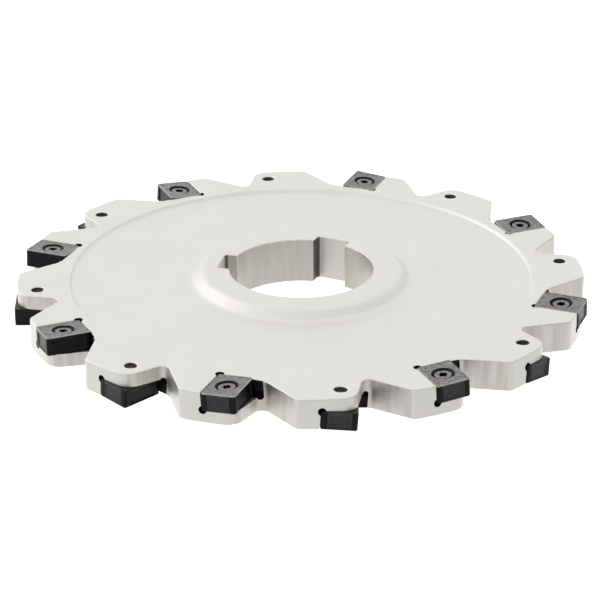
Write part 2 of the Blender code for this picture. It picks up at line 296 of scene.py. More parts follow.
def surface(tone, roughness, metallic, bump=None, **inputs):
    """Ends a material in one shader and its output; inputs are the shader's other sockets."""
    tree = tone.id_data
    settings = {
        "Base Color": mix_output(tone),
        "Roughness": roughness.outputs["Result"],
        "Metallic": metallic,
    }
    if bump is not None:
        settings["Normal"] = bump.outputs["Normal"]
    settings.update({socket.replace("_", " "): value for socket, value in inputs.items()})
    shader = add_node(tree, "ShaderNodeBsdfPrincipled", settings)
    add_node(tree, "ShaderNodeOutputMaterial", {"Surface": shader.outputs["BSDF"]})


def roughened(tree, noise, depth):
    """A fine surface texture from noise, this deep."""
    height = noise.outputs["Fac"]
    return add_node(tree, "ShaderNodeBump", {"Height": height, "Strength": 0.25, "Distance": depth})


def nickel_material(finishes):
    """Steel, fine blasted and then nickel plated: pale, warm and matte, with a soft even sheen."""
    material, tree, place = new_material("nickel plate over fine-blasted steel")
    clouds = speckle(tree, place, 14 * MM, 4)
    grain = speckle(tree, place, 0.45 * MM)  # the real grit is 0.1 mm, too fine to show
    tone = blended(tree, clouds.outputs["Fac"], finishes.nickel, finishes.nickel_dull)
    rough = ranged(tree, grain.outputs["Fac"], 0.46, 0.56)
    surface(tone, rough, 1, roughened(tree, grain, 0.02 * MM))
    return material


def milled_material(name, main, shade, depth):
    """Steel cut on its upright walls: streaks along Z this deep, where a tool's flutes passed."""
    material, tree, place = new_material(name)
    drawn_out = add_node(
        tree,
        "ShaderNodeMapping",
        {"Vector": place.outputs["Object"], "Scale": Vector((1, 1, 0.12))},
    )
    streaks = add_node(
        tree,
        "ShaderNodeTexNoise",
        {"Vector": drawn_out.outputs["Vector"], "Scale": 1 / (2.4 * MM), "Detail": 3},
    )
    grain = speckle(tree, place, 0.45 * MM)
    amount = ranged(tree, streaks.outputs["Fac"], 0, 1)
    tone = blended(tree, amount.outputs["Result"], main, shade)
    rough = ranged(tree, grain.outputs["Fac"], 0.4, 0.5)
    surface(tone, rough, 1, roughened(tree, streaks, depth))
    return material


def patchy_material(name, main, shade, patches, roughness, metallic, **inputs):
    """Blotched steel or board, duller where darker; patches are a size and its detail."""
    material, tree, place = new_material(name)
    noise = speckle(tree, place, *patches)
    tone = blended(tree, noise.outputs["Fac"], main, shade)
    surface(tone, ranged(tree, noise.outputs["Fac"], *roughness), metallic, **inputs)
    return material


def hollow_shade_material(name, main, shade, metallic):
    """Drilled or tapped steel darkened as painted shade in those hollows, with a dull sheen."""
    patches = (0.7 * MM, 2)
    return patchy_material(
        name, main, shade, patches, (0.5, 0.65), metallic, Specular_IOR_Level=0.2
    )


def carbide_material(name, main, shade, size, specular):
    """Cemented carbide, ground and nitride coated: near black and hard, in lighter and darker copies that
    carry painted reflection, highlight and shade.
    """
    material, tree, place = new_material(name)
    patches = speckle(tree, place, size, 3)
    grain = speckle(tree, place, 0.25 * MM)
    amount = ranged(tree, patches.outputs["Fac"], 0, 1)
    tone = blended(tree, amount.outputs["Result"], main, shade)
    rough = ranged(tree, patches.outputs["Fac"], 0.3, 0.42)
    bump = roughened(tree, grain, 0.01 * MM)
    surface(tone, rough, 0, bump, IOR=1.6, Specular_IOR_Level=specular)
    return material


def screw_material(name, main, shade, metallic):
    """Hardened alloy steel: a soft metal gleam where burnished, and a dull black copy that paints shade
    in the socket.
    """
    return patchy_material(name, main, shade, (0.8 * MM, 3), (0.3, 0.45), metallic)


def floor_material(finishes):
    """Matte white studio board: pale, faintly clouded, with no gloss."""
    main, shade = finishes.floor, finishes.floor_shade
    clouds = (400 * MM, 2)
    return patchy_material(
        "matte white board", main, shade, clouds, (0.85, 0.95), 0, Specular_IOR_Level=0.1
    )


# Outlines, as flat points counter-clockwise


def polar(radius, turn):
    """The flat point this far out, at this angle from X."""
    return Vector((radius * math.cos(turn), radius * math.sin(turn)))


def turned_by(point, turn):
    """A flat point turned about the origin."""
    return Matrix.Rotation(turn, 2) @ point


def rounded_corner(before, corner, after, radius, steps):
    """Points of the arc that rounds a corner of an outline."""
    to_before = (before - corner).normalized()
    to_after = (after - corner).normalized()
    half_angle = to_before.angle(to_after) / 2
    centre = corner + (to_before + to_after).normalized() * (radius / math.sin(half_angle))
    start = corner + to_before * (radius / math.tan(half_angle)) - centre
    sweep = start.angle_signed(corner + to_after * (radius / math.tan(half_angle)) - centre)
    return [centre + turned_by(start, -sweep * step / steps) for step in range(steps + 1)]


def offset_outline(points, distance):
    """The outline moved outwards, its corners mitred."""
    moved = []
    for index, point in enumerate(points):
        before = (point - points[index - 1]).normalized()
        after = (points[(index + 1) % len(points)] - point).normalized()
        outwards = Vector((before.y + after.y, -before.x - after.x)).normalized()
        stretch = 1 / max(outwards.dot(Vector((before.y, -before.x))), 0.3)
        moved.append(point + outwards * distance * stretch)
    return moved


def at_height(points, height):
    """Flat points lifted to one height."""
    return [Vector((point.x, point.y, height)) for point in points]


def tooth_outline(sizes, turn):
    """One tooth in plan: its land's tail, land, leading face and gullet."""
    land = sizes.land_radius
    root = Vector((sizes.root_out, sizes.root_ahead))
    tail = polar(land, -sizes.land_tail)
    flank = (Vector((sizes.crest_out, sizes.crest_ahead)) - root).normalized()
    along = root.dot(flank)
    crest = root + flank * (math.sqrt(along**2 - root.length_squared + land**2) - along)
    crest_angle = math.atan2(crest.y, crest.x)
    steps = 8
    land_angles = [
        -sizes.land_tail + (crest_angle + sizes.land_tail) * step / steps for step in range(2, steps - 1)
    ]
    arc = [polar(land, land_angle) for land_angle in land_angles]
    points = rounded_corner(turned_by(root, -PITCH), tail, arc[0], sizes.tail_round, 6)
    points += arc
    points += rounded_corner(arc[-1], crest, root, sizes.leading_round, 6)
    points += rounded_corner(crest, root, turned_by(tail, PITCH), sizes.gullet_fillet, 8)
    return [turned_by(point, turn) for point in points]


def bore_outline(sizes, keyway_angles):
    """The bore with its keyways, whose corners are rounded inside and at the bore."""
    half_width = sizes.keyway_width / 2
    radius = sizes.bore_radius
    half_mouth = math.asin(half_width / radius)
    fillet = sizes.keyway_corner
    beside = 0.1  # the angle of the stretch of bore beside each keyway
    points = []
    for index, turn in enumerate(keyway_angles):
        slot = [
            polar(radius, -half_mouth - beside),
            polar(radius, -half_mouth),
            Vector((sizes.keyway_floor, -half_width)),
            Vector((sizes.keyway_floor, half_width)),
            polar(radius, half_mouth),
            polar(radius, half_mouth + beside),
        ]
        for corner, corner_radius in ((1, fillet / 2), (2, fillet), (3, fillet), (4, fillet / 2)):
            around = slot[corner - 1 : corner + 2]
            rounded = rounded_corner(*around, corner_radius, 5)
            points += [turned_by(point, turn) for point in rounded]
        next_turn = keyway_angles[(index + 1) % len(keyway_angles)]
        span = (next_turn - turn) % math.tau - 2 * half_mouth - beside
        steps = max(2, round(span / math.radians(3)))
        start = turn + half_mouth + beside / 2
        points += [polar(radius, start + span * step / steps) for step in range(1, steps)]
    return points


def socket_outline(sizes):
    """The six-lobed driving socket."""
    middle = (sizes.lobe_radius + sizes.waist_radius) / 2
    swing = (sizes.lobe_radius - sizes.waist_radius) / 2
    steps = 48
    turns = [math.tau * step / steps for step in range(steps)]
    return [polar(middle + swing * math.cos(6 * turn), turn) for turn in turns]


# Meshes


def finished(shape, name):
    """A mesh from a bmesh, its faces all pointing out."""
    bmesh.ops.recalc_face_normals(shape, faces=shape.faces)
    mesh = bpy.data.meshes.new(name)
    shape.to_mesh(mesh)
    shape.free()
    return mesh


def loft(name, loops):
    """A closed mesh through loops of points that match one to one."""
    shape = bmesh.new()
    rows = [[shape.verts.new(point) for point in loop] for loop in loops]
    for lower, upper in zip(rows, rows[1:]):
        for index in range(len(lower)):
            after = (index + 1) % len(lower)
            shape.faces.new((lower[index], lower[after], upper[after], upper[index]))
    shape.faces.new(rows[0])
    shape.faces.new(rows[-1])
    return finished(shape, name)


def turned(name, profile, steps):
    """A turned solid from (radius, height) points, which start and end on the axis or close in a ring."""
    shape = bmesh.new()
    on_axis = [radius == 0 for radius, height in profile]
    columns = []
    for step in range(steps):
        turn = math.tau * step / steps
        columns.append([(*polar(radius, turn), height) for radius, height in profile])
    verts = []
    for step, column in enumerate(columns):
        verts.append(
            [
                verts[0][index] if on_axis[index] and step else shape.verts.new(point)
                for index, point in enumerate(column)
            ]
        )
    pairs = list(zip(range(len(profile)), range(1, len(profile))))
    if not on_axis[0]:
        pairs.append((len(profile) - 1, 0))
    for step in range(steps):
        here, there = verts[step], verts[(step + 1) % steps]
        for low, high in pairs:
            corners = [here[low], there[low], there[high], here[high]]
            face = [corner for index, corner in enumerate(corners) if corner not in corners[:index]]
            shape.faces.new(face)
    return finished(shape, name)


def box(name, low, high):
    """A square-edged block between two corners, for use as a cutter."""
    shape = bmesh.new()
    low, high = Vector(low), Vector(high)
    size = Matrix.Diagonal(high - low).to_4x4()
    bmesh.ops.create_cube(shape, size=1, matrix=Matrix.Translation((low + high) / 2) @ size)
    return finished(shape, name)


def rod(name, start, end, radius, end_radius=None, steps=32):
    """A round bar between two points, tapered if its end has its own radius."""
    axis = Vector(end) - Vector(start)
    turn = UP.rotation_difference(axis).to_matrix().to_4x4()
    shape = bmesh.new()
    bmesh.ops.create_cone(
        shape,
        cap_ends=True,
        segments=steps,
        radius1=radius,
        radius2=radius if end_radius is None else end_radius,
        depth=axis.length,
        matrix=Matrix.Translation((Vector(start) + Vector(end)) / 2) @ turn,
    )
    return finished(shape, name)


def ball(name, centre, radius):
    """A ball, for use as a cutter."""
    shape = bmesh.new()
    place = Matrix.Translation(centre)
    bmesh.ops.create_uvsphere(shape, u_segments=32, v_segments=16, radius=radius, matrix=place)
    return finished(shape, name)


def threaded_rod(name, top, bottom, crest, depth, pitch):
    """A rod with a helical thread, along Z."""
    around = 24
    rows_per_turn = 6
    flank_slope = 2.6  # how steeply the thread falls from its crest
    crest_width = 0.15  # how much of the crest is flat
    rows = math.ceil((top - bottom) / (pitch / rows_per_turn))
    loops = []
    for row in range(rows + 1):
        height = bottom + (top - bottom) * row / rows
        loop = []
        for step in range(around):
            phase = (height / pitch - step / around) % 1
            fall = flank_slope * abs(phase - 0.5) - crest_width
            radius = crest - depth * min(1, max(0, fall))
            loop.append((*polar(radius, math.tau * step / around), height))
        loops.append(loop)
    return loft(name, loops)


def new_object(name, mesh):
    """An object in the scene, at the origin."""
    made = bpy.data.objects.new(name, mesh)
    bpy.context.scene.collection.objects.link(made)
    return made


def placed(mesh, place):
    """A copy of a mesh, moved to a place."""
    copy = mesh.copy()
    copy.transform(place)
    return copy


def joined(name, shapes):
    """One object from several (mesh, place) pairs, for use as a cutter."""
    shape = bmesh.new()
    for mesh, place in shapes:
        copy = placed(mesh, place)
        shape.from_mesh(copy)
        bpy.data.meshes.remove(copy)
    mesh = bpy.data.meshes.new(name)
    shape.to_mesh(mesh)
    shape.free()
    return new_object(name, mesh)


def combine(obj, operation, other, material=None):
    """Applies a Boolean with a closed helper, and removes it; what it cuts takes its material."""
    if material is not None:
        other.data.materials.append(material)
    modifier = obj.modifiers.new(other.name, "BOOLEAN")
    modifier.operation = operation
    modifier.solver = "MANIFOLD"
    modifier.material_mode = "TRANSFER"
    modifier.object = other
    before = len(obj.data.polygons)
    graph = bpy.context.evaluated_depsgraph_get()
    mesh = bpy.data.meshes.new_from_object(obj.evaluated_get(graph))
    if len(mesh.polygons) == before:
        raise RuntimeError(f"{other.name} changed nothing in {obj.name}")
    obj.modifiers.clear()
    obj.data = mesh
    bpy.data.objects.remove(other)


def coat(mesh, materials, choose):
    """Gives each face the material whose index the function picks for it."""
    mesh.materials.clear()
    for material in materials:
        mesh.materials.append(material)
    for face in mesh.polygons:
        face.material_index = choose(face)


def smooth(obj, degrees):
    """Smooth shading with sharp creases, and flat faces that stay flat."""
    obj.data.shade_smooth()
    obj.data.set_sharp_from_angle(angle=math.radians(degrees))
    weighted = obj.modifiers.new("weighted normals", "WEIGHTED_NORMAL")
    weighted.keep_sharp = True
    weighted.weight = 100


# Seats


def seat_place(insert):
    """A seat's frame: X out along the insert, Z out of the face, at the middle of the insert's face."""
    joint = JOINTS[insert.replace("insert", "screw")]
    origin = Vector(joint["pos_m"])
    out_of_face = Vector(joint["axis"]).normalized()
    along = UP.cross(out_of_face).normalized()
    if along.dot(origin) < 0:
        along = -along
    across = out_of_face.cross(along)
    turn = Matrix((along, across, out_of_face)).transposed().to_4x4()
    return Matrix.Translation(origin) @ turn


def side_of(insert):
    """1 for an insert in the upper face, -1 for one in the lower face."""
    return 1 if JOINTS[insert]["axis"][2] > 0 else -1


def tooth_angle(insert, seats):
    """The angle of the tooth that carries an insert."""
    along = seat_place(insert).to_3x3() @ Vector((1, 0, 0))
    return math.atan2(along.y, along.x) + seats.radial_relief


def seat_cutters(seats, inserts, screws, rim_half):
    """The helpers that cut every seat, by name, each one object for all sixteen seats."""
    cutters = {}

    def add(name, mesh, place):
        cutters.setdefault(name, []).append((mesh, place))

    inner = -(inserts.length_out / 2 + seats.gap)
    floor = -(inserts.thickness + seats.gap)
    outer = inserts.length_out / 2 + seats.overrun
    for insert in INSERTS:
        side = side_of(insert)
        place = seat_place(insert)
        back = -side * (inserts.width / 2 + seats.gap)
        front = side * (inserts.width / 2 + seats.lead)
        low = (inner, min(back, front), floor)
        high = (outer, max(back, front), seats.overrun)
        add("pocket", box("pocket", low, high), place)
        inset = seats.groove_inset
        groove = Vector((inner + inset, back + side * inset, floor + inset))
        hole = Vector((inner + seats.corner_inset, back + side * seats.corner_inset, 0))
        start = (hole.x, groove.y, groove.z)
        along = rod("groove", start, (outer, groove.y, groove.z), seats.groove_radius)
        add("back_groove", along, place)
        end = Vector((groove.x, front - side * seats.groove_radius, groove.z))
        across = rod("groove", (groove.x, hole.y, groove.z), end, seats.groove_radius)
        add("inner_groove", across, place)
        # a little larger than the groove, so that no two faces lie together
        add("groove_end", ball("groove_end", end, 1.02 * seats.groove_radius), place)
        bottom = floor - seats.corner_drop
        top = (hole.x, hole.y, seats.overrun)
        corner = rod("corner", (hole.x, hole.y, bottom), top, seats.corner_radius)
        add("corner_relief", corner, place)

        through = -(2 * rim_half + seats.overrun)
        thread_top = floor + 2 * screws.pitch
        hole_radius = screws.tapped_radius + screws.thread_depth
        thread = threaded_rod(
            "tapped", thread_top, through, hole_radius, screws.thread_depth, screws.pitch
        )
        add("tapped_hole", thread, place)

        corners = [
            Vector((inner, back)),
            Vector((outer, back)),
            Vector((outer, front)),
            Vector((inner, front)),
        ]
        if side < 0:
            corners.reverse()
        rim = [on_plane(place, corner, MID_HEIGHT + side * rim_half) for corner in corners]
        level = [Vector((point.x, point.y)) for point in rim]
        if side < 0:
            level.reverse()
        breaks = []
        for depth, spread in ((-1, 0), (1, 2)):
            height = MID_HEIGHT + side * (rim_half + depth * seats.rim_break)
            breaks.append(at_height(offset_outline(level, spread * seats.rim_break), height))
        add("rim_break", loft("rim_break", breaks), Matrix.Identity(4))

        far = on_plane(place, Vector((0, 0)), MID_HEIGHT - side * rim_half)
        depth = UP * side * seats.rim_break
        mouth = rod("mouth", far + depth, far - depth, hole_radius, hole_radius + 2 * seats.rim_break)
        add("hole_mouth", mouth, Matrix.Identity(4))
        lead_in = rod(
            "lead_in",
            (0, 0, floor - 2 * seats.rim_break),
            (0, 0, floor + seats.rim_break),
            hole_radius,
            hole_radius + 3 * seats.rim_break,
        )
        add("lead_in", lead_in, place)
    return {name: joined(name, shapes) for name, shapes in cutters.items()}


def on_plane(place, point, height):
    """Where a line out of a seat's face through a flat point of it meets a level plane."""
    start = place @ Vector((point.x, point.y, 0))
    direction = place.to_3x3() @ UP
    return start + direction * ((height - start.z) / direction.z)


# Pieces


def toothed_rim(sizes, turns):
    """The plan of teeth at the rim's thickness, with its edges broken round."""
    plan = [point for turn in turns for point in tooth_outline(sizes, turn)]
    half = sizes.rim_thickness / 2
    edge = sizes.edge_break
    steps = 4
    bends = [math.pi / 2 * step / steps for step in range(steps + 1)]
    upper = [(half - edge + edge * math.sin(bend), edge * (math.cos(bend) - 1)) for bend in bends]
    lower = [(-height, inset) for height, inset in reversed(upper)]
    loops = [
        at_height(offset_outline(plan, inset), MID_HEIGHT + height) for height, inset in lower + upper
    ]
    return loft("toothed_rim", loops)


def web_recess(sizes, side):
    """The ring turned out of one face between the hub and the rim."""
    rim = sizes.rim_thickness / 2
    web = rim - sizes.web_depth
    above = 2 * sizes.web_depth
    slope = (sizes.rim_step - sizes.web_radius) / sizes.web_depth
    run = 0.35 * MM  # how far the step's rounded edges run along its faces
    profile = [
        (sizes.hub_face, rim + above),
        (sizes.hub_face, web),
        (sizes.web_radius - run, web),
        (sizes.web_radius, web + 0.1 * run),
        (sizes.web_radius + 0.5 * slope * run, web + 0.5 * run),
        (sizes.rim_step - 0.5 * slope * run, rim - 0.5 * run),
        (sizes.rim_step, rim - 0.1 * run),
        (sizes.rim_step + run, rim),
        (sizes.rim_step + run, rim + above),
    ]
    placed_profile = [(radius, MID_HEIGHT + side * height) for radius, height in profile]
    return turned("web_recess", placed_profile, 192)


def hub(sizes):
    """The raised hub, with a rounded shoulder and a fillet that runs out over the web."""
    top = BODY_HIGH.z - MID_HEIGHT
    rim = sizes.rim_thickness / 2
    web = rim - sizes.web_depth
    face_edge = Vector((sizes.hub_face, top))
    foot = Vector((sizes.hub_flank, rim))
    before = Vector((0, top))
    shoulder = rounded_corner(before, face_edge, foot, sizes.hub_shoulder, 6)
    web -= 0.002 * MM  # just below the web, so that no two faces lie together
    fillet_end = Vector((sizes.hub_flank + sizes.hub_fillet, web))
    steps = 8
    flank = foot - face_edge
    knee = Vector((foot.x - flank.x / flank.y * (rim - web), web))
    fillet = []
    for step in range(1, steps + 1):
        share = step / steps
        bend = foot * (1 - share) ** 2 + knee * 2 * share * (1 - share) + fillet_end * share**2
        fillet.append(bend)
    upper = [Vector((0, top))] + shoulder + [foot] + fillet + [Vector((fillet_end.x, web - 0.5 * MM))]
    lower = [Vector((point.x, -point.y)) for point in reversed(upper)]
    profile = [(point.x, MID_HEIGHT + point.y) for point in upper + lower]
    return turned("hub", profile, 144)


def keyway_turns():
    """The direction of each keyway from the axis, from the openings stated for them."""
    keyways = [OPENINGS[name]["box_m"] for name in sorted(OPENINGS) if "keyway" in name]
    return [math.atan2(low[1] + high[1], low[0] + high[0]) for low, high in keyways]


def bore_cutter(sizes):
    """The bore with its keyways, flared at both ends to chamfer every edge."""
    outline = bore_outline(sizes, keyway_turns())
    chamfer = sizes.bore_chamfer
    top = BODY_HIGH.z
    bottom = BODY_LOW.z
    levels = [
        (bottom - chamfer, 2 * chamfer),
        (bottom + chamfer, 0),
        (top - chamfer, 0),
        (top + chamfer, 2 * chamfer),
    ]
    loops = [at_height(offset_outline(outline, spread), height) for height, spread in levels]
    return loft("bore", loops)


def slot_of(mesh, word):
    """The index of the material whose name has this word."""
    return next(index for index, material in enumerate(mesh.materials) if word in material.name)


def show_milling(mesh, sizes):
    """Gives the upright walls of the gullets the milled finish."""
    land_edge = sizes.land_radius - 1 * MM
    nickel = slot_of(mesh, "blasted")
    milled = slot_of(mesh, "milled")
    for face in mesh.polygons:
        upright = abs(face.normal.z) < 0.2
        in_gullet = sizes.rim_step < face.center.xy.length < land_edge
        if face.material_index == nickel and upright and in_gullet:
            face.material_index = milled


def paint_shade_on_pocket_ends(mesh):
    """Gives each pocket's inner end wall the dark relief finish, as painted shade."""
    milled = slot_of(mesh, "milled")
    painted_shade_slot = slot_of(mesh, "drilled")
    for face in mesh.polygons:
        outwards = face.normal.dot(face.center.normalized())
        # painted shade on the pocket's inner end wall
        if face.material_index == milled and outwards > 0.8:
            face.material_index = painted_shade_slot


def show_keyways(mesh, sizes):
    """Gives the keyways plain plate, but paints shade on their corners and on the flanks that the keys
    drive.
    """
    bored = slot_of(mesh, "over bored")
    nickel = slot_of(mesh, "blasted")
    # the material that paints shade in the keyways
    rubbed = slot_of(mesh, "broached")
    past_bore = sizes.bore_radius + 0.15 * MM
    past_corner = sizes.keyway_floor - sizes.keyway_corner
    for face in mesh.polygons:
        if face.material_index != bored or face.center.xy.length < past_bore:
            continue
        face.material_index = nickel
        if abs(face.normal.z) > 0.5:
            continue
        for turn in keyway_turns():
            out = polar(1, turn)
            if out.dot(face.center.xy) < 0:
                continue
            driven = face.normal.xy.dot(turned_by(out, -math.pi / 2)) > 0.6
            oblique = abs(face.normal.xy.dot(out)) < 0.95
            # painted shade on the driven flank and in the corners
            if driven or (oblique and face.center.xy.dot(out) > past_corner):
                face.material_index = rubbed


class CUTTER_OT_body(bpy.types.Operator):
    """Build the plated steel body with its teeth, seats, hub, bore and keyways"""

    bl_idname = "cutter.body"
    bl_label = "Cutter Body"

    def execute(self, context):
        scene = context.scene
        sizes = scene.cutter_body
        seats = scene.cutter_seats
        finishes = scene.cutter_finishes
        nickel = nickel_material(finishes)
        milled = milled_material(
            "nickel plate over end-milled steel", finishes.milled, finishes.milled_dark, 0.022 * MM
        )
        bored = milled_material(
            "nickel plate over bored steel", finishes.bored, finishes.bored_shade, 0.006 * MM
        )
        turns = sorted(tooth_angle(insert, seats) % math.tau for insert in INSERTS)
        body = new_object("plated_cutter_body", toothed_rim(sizes, turns))
        body.data.materials.append(nickel)
        for side in (1, -1):
            combine(body, "DIFFERENCE", new_object("web_recess", web_recess(sizes, side)), nickel)
        combine(body, "UNION", new_object("hub", hub(sizes)), nickel)
        combine(body, "DIFFERENCE", new_object("bore", bore_cutter(sizes)), bored)
        rim_half = sizes.rim_thickness / 2
        # painted shade in the drilled reliefs and the tapped holes
        relief = hollow_shade_material("drilled steel darkened as painted shade", finishes.relief, finishes.coating, 0)
        tapped = hollow_shade_material("tapped steel darkened as painted shade", finishes.tapped, finishes.relief, 1)
        cut_finish = {
            "pocket": milled,
            "rim_break": nickel,
            "hole_mouth": nickel,
            "tapped_hole": tapped,
        }
        cutters = seat_cutters(seats, scene.cutter_inserts, scene.cutter_screws, rim_half)
        # the grooves and relief holes take the painted shade
        for name, cutter in cutters.items():
            combine(body, "DIFFERENCE", cutter, cut_finish.get(name, relief))
        paint_shade_on_pocket_ends(body.data)
        show_milling(body.data, sizes)
        # painted shade for the keyways' driven flanks and corners
        flank = milled_material(
            "broached steel darkened as painted shade", finishes.flank, finishes.flank_painted_shade_dark, 0.01 * MM
        )
        body.data.materials.append(flank)
        show_keyways(body.data, sizes)
        smooth(body, 32)
        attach(body, "cutter_body")
        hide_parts("cutter_body")
        return {"FINISHED"}


def insert_outline(sizes, inset=0):
    """Points around an insert, each with its side's normal and its share of the chip groove."""
    half = Vector((sizes.length_out / 2 - inset, sizes.width / 2 - inset))
    radius = max(sizes.corner - inset, 0.05 * MM)
    ramp = 0.5 * MM  # how far the chip groove takes to reach its depth
    outline = []
    for quarter in range(4):
        turn = quarter * math.pi / 2
        reach = half if quarter % 2 == 0 else half.yx
        normal = turned_by(Vector((1, 0)), turn)
        straight = reach.y - radius
        strip_end = sizes.strip - straight - (inset - sizes.corner + radius)
        run = [-straight, strip_end, strip_end + ramp]
        for offset, share in zip(run, (0, 0, 1)):
            outline.append((turned_by(Vector((reach.x, offset)), turn), normal, share))
        for offset, share in zip(reversed(run), (1, 0, 0)):
            outline.append((turned_by(Vector((reach.x, -offset)), turn), normal, share))
        centre = Vector((reach.x - radius, reach.y - radius))
        for step in range(1, 5):
            bend = turned_by(Vector((1, 0)), math.pi / 2 * step / 5)
            outline.append((turned_by(centre + bend * radius, turn), turned_by(bend, turn), 0))
    return outline


def insert_mesh(sizes):
    """A double-sided insert with chip grooves around its sides and a shallow dish in each face."""
    half_depth = sizes.thickness / 2
    ease = 0.35 * MM  # how far the dish takes to reach its depth
    # each level's depth, inset, share of the chip groove's depth, and dish
    levels = [
        (0, sizes.honed + sizes.border + ease, 0, sizes.dish),
        (0, sizes.honed + sizes.border, 0, 0),
        (0, sizes.honed, 0, 0),
        (sizes.honed, 0, 0, 0),
        (sizes.land, 0, 0, 0),
        (sizes.land + 0.3 * MM, 0, 0.75, 0),
        (sizes.land + 0.8 * MM, 0, 1, 0),
        (half_depth, 0, 0.8, 0),
    ]
    levels += [
        (sizes.thickness - depth, inset, share, -dish)
        for depth, inset, share, dish in reversed(levels[:-1])
    ]
    loops = []
    for depth, inset, groove_share, dish in levels:
        loop = []
        for point, normal, share in insert_outline(sizes, inset):
            moved = point - normal * sizes.groove * share * groove_share
            loop.append(Vector((moved.x, moved.y, -depth - dish)))
        loops.append(loop)
    obj = new_object("insert_blank", loft("insert", loops))
    over = 1 * MM
    slope = (sizes.countersink - sizes.hole) / sizes.countersink_depth
    profile = [
        (0, over),
        (sizes.countersink + slope * over, over),
        (sizes.hole, -sizes.countersink_depth),
        (sizes.hole, sizes.countersink_depth - sizes.thickness),
        (sizes.countersink + slope * over, -sizes.thickness - over),
        (0, -sizes.thickness - over),
    ]
    combine(obj, "DIFFERENCE", new_object("screw_hole", turned("screw_hole", profile, 64)))
    mesh = obj.data
    bpy.data.objects.remove(obj)
    return mesh


def insert_finish(face, sizes):
    """Which finish a face of an insert has: 0 coated, painted as shade, 1 ground side, 2 ground face,
    painted as reflection, 3 honed edge, painted as highlight.
    """
    normal, centre = face.normal, face.center
    flatness = abs(normal.z)
    outer = centre.z > -sizes.thickness / 2
    if centre.xy.length < sizes.countersink and flatness < 0.95:
        return 0
    if flatness > 0.8:
        return 2 if outer else 1
    if -centre.z < sizes.honed:
        return 3
    at_end = abs(normal.x) > abs(normal.y)
    in_strip = sizes.width / 2 - abs(centre.y) < sizes.corner + sizes.strip
    # rake sides, corner strips and countersink walls take 0, the painted shade
    return 1 if at_end and not in_strip else 0


class CUTTER_OT_inserts(bpy.types.Operator):
    """Build the sixteen carbide inserts, one on each insert's body"""

    bl_idname = "cutter.inserts"
    bl_label = "Carbide Inserts"

    def execute(self, context):
        scene = context.scene
        sizes = scene.cutter_inserts
        finishes = scene.cutter_finishes
        mesh = insert_mesh(sizes)
        coating, side = finishes.coating, finishes.ground_side
        face, face_shade = finishes.face_painted_reflection, finishes.ground_face_dark
        materials = [
            # painted shade: the rake sides, corner strips and countersink take this near-black copy
            carbide_material(
                "rake side darkened as painted shade", coating, finishes.coating_shade, 1.6 * MM, 0.15
            ),
            carbide_material("nitride coating on ground side", side, coating, 1.6 * MM, 0.4),
            # painted reflection: the faces are painted lighter than the sides
            carbide_material("ground face lightened as painted reflection", face, face_shade, 1.2 * MM, 0.5),
            # painted highlight along the honed edges
            carbide_material("honed edge lightened as painted highlight", finishes.honed, face, 0.6 * MM, 0.6),
        ]
        coat(mesh, materials, lambda face: insert_finish(face, sizes))
        for insert in INSERTS:
            piece = new_object(f"ground_{insert}", placed(mesh, seat_place(insert)))
            smooth(piece, 30)
            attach(piece, insert)
            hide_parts(insert)
        return {"FINISHED"}


def screw_mesh(sizes):
    """A countersunk clamp screw with a six-lobed socket and a real thread."""
    top = -sizes.head_drop
    neck = -sizes.neck_depth
    rim = Vector((sizes.head_radius, top))
    foot = Vector((sizes.shank_radius, neck))
    edge = rounded_corner(Vector((0, top)), rim, foot, sizes.head_round, 4)
    root = sizes.shank_radius - sizes.thread_depth
    relief = neck - 0.6 * MM
    undercut = root - 0.05 * MM
    core_end = relief - 0.4 * MM
    profile = [(0, top)]
    profile += [(point.x, point.y) for point in edge]
    profile += [(foot.x, foot.y), (undercut, relief), (undercut, core_end), (0, core_end)]
    obj = new_object("screw_blank", turned("screw", profile, 48))
    end = -sizes.end_depth
    thread_top = relief - 0.2 * MM
    thread = threaded_rod(
        "thread", thread_top, end + 0.3 * MM, sizes.shank_radius, sizes.thread_depth, sizes.pitch
    )
    combine(obj, "UNION", new_object("thread", thread))
    point_top = (0, 0, end + 0.6 * MM)
    point = rod("point", point_top, (0, 0, end), root - 0.02 * MM, root - 0.4 * MM)
    combine(obj, "UNION", new_object("point", point))
    outline = socket_outline(sizes)
    floor = top - sizes.socket_depth
    loops = [
        at_height(offset_outline(outline, -0.45 * MM), floor - 0.1 * MM),
        at_height(outline, floor + 0.15 * MM),
        at_height(outline, top - 0.1 * MM),
        at_height(offset_outline(outline, 0.25 * MM), top + 0.15 * MM),
    ]
    combine(obj, "DIFFERENCE", new_object("socket", loft("socket", loops)))
    mesh = obj.data
    bpy.data.objects.remove(obj)
    return mesh


def screw_finish(face, sizes):
    """Which finish a face of a screw has: 0 burnished around the top of the head, 1 black elsewhere, as
    painted shade in the socket.
    """
    on_top = face.center.z > -sizes.head_drop - sizes.head_round and face.normal.z > 0.3
    return 0 if on_top else 1


class CUTTER_OT_screws(bpy.types.Operator):
    """Build the sixteen clamp screws, one on each screw's body"""

    bl_idname = "cutter.screws"
    bl_label = "Clamp Screws"

    def execute(self, context):
        scene = context.scene
        sizes = scene.cutter_screws
        finishes = scene.cutter_finishes
        mesh = screw_mesh(sizes)
        burnished, black = finishes.burnished, finishes.socket_painted_shade
        materials = [
            screw_material("burnished alloy steel", burnished, finishes.face_painted_reflection, 1),
            # painted shade in the socket
            screw_material("alloy steel darkened as painted shade", black, finishes.relief, 0),
        ]
        coat(mesh, materials, lambda face: screw_finish(face, sizes))
        for insert, screw in zip(INSERTS, SCREWS):
            piece = new_object(f"burnished_{screw}", placed(mesh, seat_place(insert)))
            smooth(piece, 35)
            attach(piece, screw)
            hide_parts(screw)
        return {"FINISHED"}


# Stage


